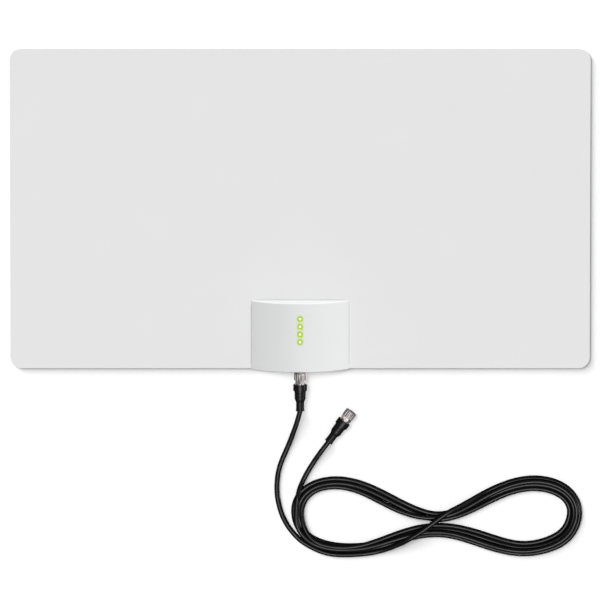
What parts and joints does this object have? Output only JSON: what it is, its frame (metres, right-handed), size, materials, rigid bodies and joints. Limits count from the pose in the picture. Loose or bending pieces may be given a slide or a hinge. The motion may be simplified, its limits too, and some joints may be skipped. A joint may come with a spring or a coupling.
{
  "type": "flat indoor tv antenna",
  "caption": "Flat white sheet antenna with a bowed amplifier housing at its lower edge, lit signal lamps and a looped black coaxial lead with screw-on plugs.",
  "frame": {"origin": "centre of the rear cover's flat back face, which rests on the surface", "axes": "+X along the sheet's long side, +Y up the sheet away from the lead, +Z out of its face"},
  "size_m": [0.546, 0.4869, 0.0223],
  "materials": {
    "film_white": "smooth satin film",
    "foil_metal": "bare foil",
    "cover_white": "moulded, low gloss",
    "screw_steel": "zinc plated",
    "board_green": "solder mask",
    "can_tin": "tinned sheet",
    "chip_black": "moulded package",
    "contact_brass": "bare",
    "lamp_body": "moulded package",
    "lamp_green": "clear moulding, lit green",
    "nickel": "nickel plated",
    "core_white": "natural insulation",
    "pin_copper": "bare copper",
    "boot_black": "moulded flexible plastic",
    "cord_black": "smooth jacket"
  },
  "bodies": {
    "antenna": {"front_film": "film_white", "antenna_foil": "foil_metal", "rear_film": "film_white", "front_cover": "cover_white", "rear_cover": "cover_white", "cover_screws": "screw_steel", "circuit_board": "board_green", "board_screws": "screw_steel", "shield_can": "can_tin", "amplifier_chip": "chip_black", "feed_clips": "contact_brass", "signal_lamps": "lamp_body", "light_guide": "lamp_green", "jack_body": "nickel", "jack_nut": "nickel", "jack_insulator": "core_white", "jack_contact": "contact_brass", "cord_lead": "cord_black", "cord_hank": "cord_black", "cord_tail": "cord_black", "near_ferrule": "nickel", "near_core": "core_white", "near_centre_pin": "pin_copper", "near_boot": "boot_black", "far_ferrule": "nickel", "far_core": "core_white", "far_centre_pin": "pin_copper", "far_boot": "boot_black"},
    "near_nut": {"near_coupling_nut": "nickel"},
    "far_nut": {"far_coupling_nut": "nickel"}
  },
  "joints": [
    {"name": "near_nut_spin", "type": "hinge", "parent": "antenna", "child": "near_nut", "pos_m": [0, -0.03545, 0.0095], "axis": [0, 1, 0], "continuous": true},
    {"name": "far_nut_spin", "type": "hinge", "parent": "antenna", "child": "far_nut", "pos_m": [0.0486, -0.0732, 0.00645], "axis": [0.6, 0.8, 0], "continuous": true}
  ]
}
